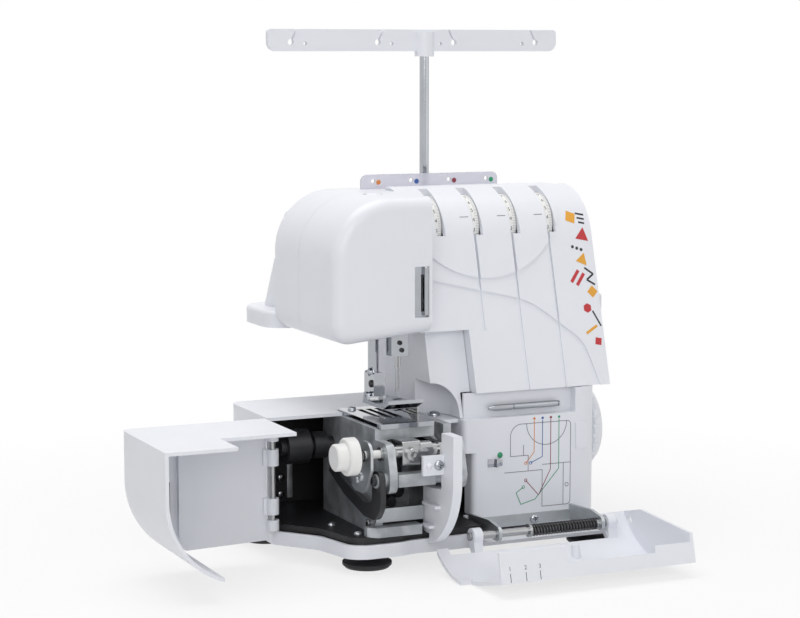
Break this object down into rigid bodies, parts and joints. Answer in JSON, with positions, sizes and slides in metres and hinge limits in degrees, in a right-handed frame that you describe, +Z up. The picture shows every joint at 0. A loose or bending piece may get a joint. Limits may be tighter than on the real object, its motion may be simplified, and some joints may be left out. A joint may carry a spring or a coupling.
{
  "type": "overlock sewing machine",
  "caption": "Table-top overlock machine with thread dials on a leaning front, hinged side door, drop-down looper cover, open looper and knife works, spool stand and thread antenna.",
  "frame": {"origin": "on the table under the middle of the box round the machine as it stands open", "axes": "+X to the operator's right, towards the handwheel, +Y to the back, towards the spool stand, +Z up"},
  "size_m": [0.436, 0.3098, 0.387],
  "materials": {
    "white_shell": "smooth white moulding",
    "dial_plastic": "white dial with numbers",
    "black_plastic": "black moulding",
    "rubber": "black rubber",
    "casting": "grey die casting",
    "black_casting": "black painted casting",
    "steel": "ground steel",
    "zinc": "zinc plated sheet",
    "chrome": "bright chrome",
    "dark_steel": "black oxide steel",
    "clear_plastic": "pale lilac plastic",
    "tray_plastic": "white moulding"
  },
  "bodies": {
    "machine": {"base_pan": "white_shell", "rubber_feet": "rubber", "frame_casting": "black_casting", "looper_bed": "casting", "bed_cover": "white_shell", "needle_plate": "chrome", "base_front_panel": "white_shell", "belt_cover": "white_shell", "throat_panel": "white_shell", "front_housing": "white_shell", "rear_housing": "white_shell", "face_cover": "white_shell", "take_up_cover": "chrome", "cover_bracket": "white_shell", "guard_plate": "zinc", "knife_bracket": "zinc", "hinge_bracket": "zinc", "thread_guide_plate": "clear_plastic", "door_pin": "steel", "motor": "dark_steel", "drive_belt": "rubber", "tension_bracket": "zinc", "tension_discs": "chrome", "spool_tray": "tray_plastic", "spool_pins": "white_shell", "spool_cones": "tray_plastic", "antenna_tube": "chrome", "power_inlet": "black_plastic", "cover_spring": "dark_steel", "dial_spring": "dark_steel"},
    "door": {"side_door": "white_shell", "door_latch": "black_plastic"},
    "rod": {"cover_rod": "steel"},
    "cover": {"front_cover": "white_shell"},
    "drive": {"handwheel": "white_shell", "main_shaft": "dark_steel", "main_pulley": "black_plastic"},
    "rotor": {"motor_rotor": "steel"},
    "dial_1": {"left_needle_dial": "dial_plastic"},
    "dial_2": {"right_needle_dial": "dial_plastic"},
    "dial_3": {"upper_looper_dial": "dial_plastic"},
    "dial_4": {"lower_looper_dial": "dial_plastic"},
    "needle": {"needle_bar": "chrome", "needle_clamp": "chrome", "needles": "steel"},
    "presser": {"presser_bar": "chrome"},
    "foot": {"presser_foot": "chrome"},
    "lifter": {"presser_lifter": "zinc"},
    "pressure": {"pressure_screw": "white_shell"},
    "knife": {"knife_arm": "casting", "upper_knife": "steel", "knife_lever": "dark_steel"},
    "cut_width": {"cutting_dial": "dial_plastic"},
    "lower_blade": {"lower_knife": "steel"},
    "looper_up": {"upper_looper": "dark_steel"},
    "looper_low": {"lower_looper": "dark_steel"},
    "feed": {"feed_dogs": "steel"},
    "antenna": {"antenna_rod": "chrome", "antenna_bar": "white_shell"},
    "switch": {"power_switch": "black_plastic"}
  },
  "joints": [
    {"name": "door_swing", "type": "hinge", "parent": "machine", "child": "door", "pos_m": [-0.106, 0.011, 0.06], "axis": [0, 0, 1], "range_deg": [0, 90]},
    {"name": "cover_shift", "type": "slide", "parent": "machine", "child": "rod", "axis": [1, 0, 0], "range_m": [0, 0.008], "stiffness_N_per_m": 150, "springref_m": -0.012, "deforming": ["cover_spring"]},
    {"name": "cover_tilt", "type": "hinge", "parent": "rod", "child": "cover", "pos_m": [0.06, -0.067, 0.024], "axis": [1, 0, 0], "range_deg": [-76, 0]},
    {"name": "handwheel_turn", "type": "hinge", "parent": "machine", "child": "drive", "pos_m": [0.1, 0.033, 0.08], "axis": [1, 0, 0], "continuous": true},
    {"name": "motor_turn", "type": "hinge", "parent": "machine", "child": "rotor", "pos_m": [0.1, 0.062, 0.052], "axis": [1, 0, 0], "continuous": true},
    {"name": "dial_1_turn", "type": "hinge", "parent": "machine", "child": "dial_1", "pos_m": [0.029, 0.0396, 0.238], "axis": [1, 0, 0], "range_deg": [-150, 150]},
    {"name": "dial_2_turn", "type": "hinge", "parent": "machine", "child": "dial_2", "pos_m": [0.0603, 0.0396, 0.238], "axis": [1, 0, 0], "range_deg": [-150, 150]},
    {"name": "dial_3_turn", "type": "hinge", "parent": "machine", "child": "dial_3", "pos_m": [0.0916, 0.0396, 0.238], "axis": [1, 0, 0], "range_deg": [-150, 150]},
    {"name": "dial_4_turn", "type": "hinge", "parent": "machine", "child": "dial_4", "pos_m": [0.1229, 0.0396, 0.238], "axis": [1, 0, 0], "range_deg": [-150, 150]},
    {"name": "needle_stroke", "type": "slide", "parent": "machine", "child": "needle", "axis": [0, 0, 1], "range_m": [-0.027, 0]},
    {"name": "lifter_turn", "type": "hinge", "parent": "machine", "child": "lifter", "pos_m": [-0.04, 0.09, 0.214], "axis": [0, -1, 0], "range_deg": [0, 55]},
    {"name": "presser_lift", "type": "slide", "parent": "machine", "child": "presser", "axis": [0, 0, 1], "range_m": [-0.0047, 0]},
    {"name": "foot_tilt", "type": "hinge", "parent": "presser", "child": "foot", "pos_m": [-0.02, 0.014, 0.1185], "axis": [-1, 0, 0], "range_deg": [0, 6]},
    {"name": "pressure_turn", "type": "hinge", "parent": "machine", "child": "pressure", "pos_m": [-0.023, 0.018, 0.26], "axis": [0, 0, 1], "range_deg": [-180, 180]},
    {"name": "knife_swing", "type": "hinge", "parent": "machine", "child": "knife", "pos_m": [-0.02, -0.064, 0.07], "axis": [1, 0, 0], "range_deg": [-8, 0]},
    {"name": "cut_width_turn", "type": "hinge", "parent": "machine", "child": "cut_width", "pos_m": [-0.07, -0.058, 0.088], "axis": [1, 0, 0], "range_deg": [-90, 90]},
    {"name": "lower_blade_shift", "type": "slide", "parent": "machine", "child": "lower_blade", "axis": [1, 0, 0], "range_m": [-0.001, 0.001]},
    {"name": "upper_looper_swing", "type": "hinge", "parent": "machine", "child": "looper_up", "pos_m": [-0.008, 0.01, 0.046], "axis": [0, 1, 0], "range_deg": [-12, 4]},
    {"name": "lower_looper_swing", "type": "hinge", "parent": "machine", "child": "looper_low", "pos_m": [-0.03, 0, 0.046], "axis": [0, 1, 0], "range_deg": [-10, 10]},
    {"name": "feed_shift", "type": "slide", "parent": "machine", "child": "feed", "axis": [0, 1, 0], "range_m": [-0.0015, 0.0015]},
    {"name": "antenna_slide", "type": "slide", "parent": "machine", "child": "antenna", "axis": [0, 0, 1], "range_m": [-0.06, 0]},
    {"name": "switch_rock", "type": "hinge", "parent": "machine", "child": "switch", "pos_m": [0.1465, 0.046, 0.0345], "axis": [0, 1, 0], "range_deg": [-10, 0]}
  ],
  "couplings": [
    {"joint": "motor_turn", "follows": "handwheel_turn", "ratio": 3.125},
    {"joint": "lifter_turn", "follows": "presser_lift", "rad_per_m": -204.2},
    {"joint": "cut_width_turn", "follows": "lower_blade_shift", "rad_per_m": 1570}
  ]
}
